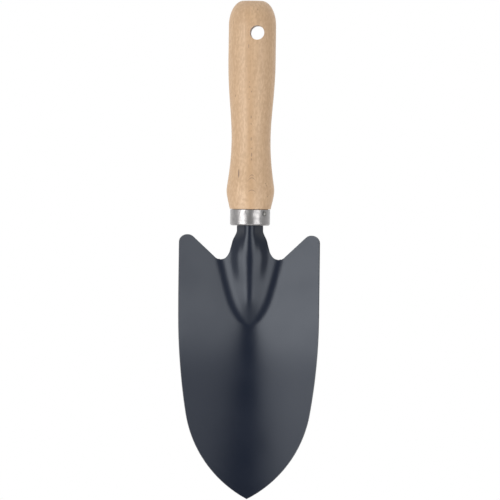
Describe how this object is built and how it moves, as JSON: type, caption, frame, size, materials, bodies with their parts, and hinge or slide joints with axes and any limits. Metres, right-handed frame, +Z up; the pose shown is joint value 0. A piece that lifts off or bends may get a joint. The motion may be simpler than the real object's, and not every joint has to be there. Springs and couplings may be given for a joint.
{
  "type": "garden trowel",
  "caption": "Garden trowel with a pressed steel scoop blade, raised centre ridge, rounded horns, plated ferrule and turned wooden handle with a hanging hole.",
  "frame": {"origin": "centre of the hanging hole, midway through the handle", "axes": "+Z up along the handle with the trowel hanging blade down, -Y the way the scoop's hollow faces, +X to the right seen from the hollow side"},
  "size_m": [0.0887, 0.03, 0.314],
  "materials": {
    "painted_steel": "slate grey semi-gloss coating",
    "hardwood": "pale hardwood, sanded smooth and lightly sealed",
    "plated_steel": "bright plated steel with small dents",
    "plated_pin": "bright plated steel"
  },
  "bodies": {
    "root": {"blade": "painted_steel", "handle": "hardwood", "ferrule": "plated_steel", "ferrule_pin": "plated_pin"}
  },
  "joints": []
}
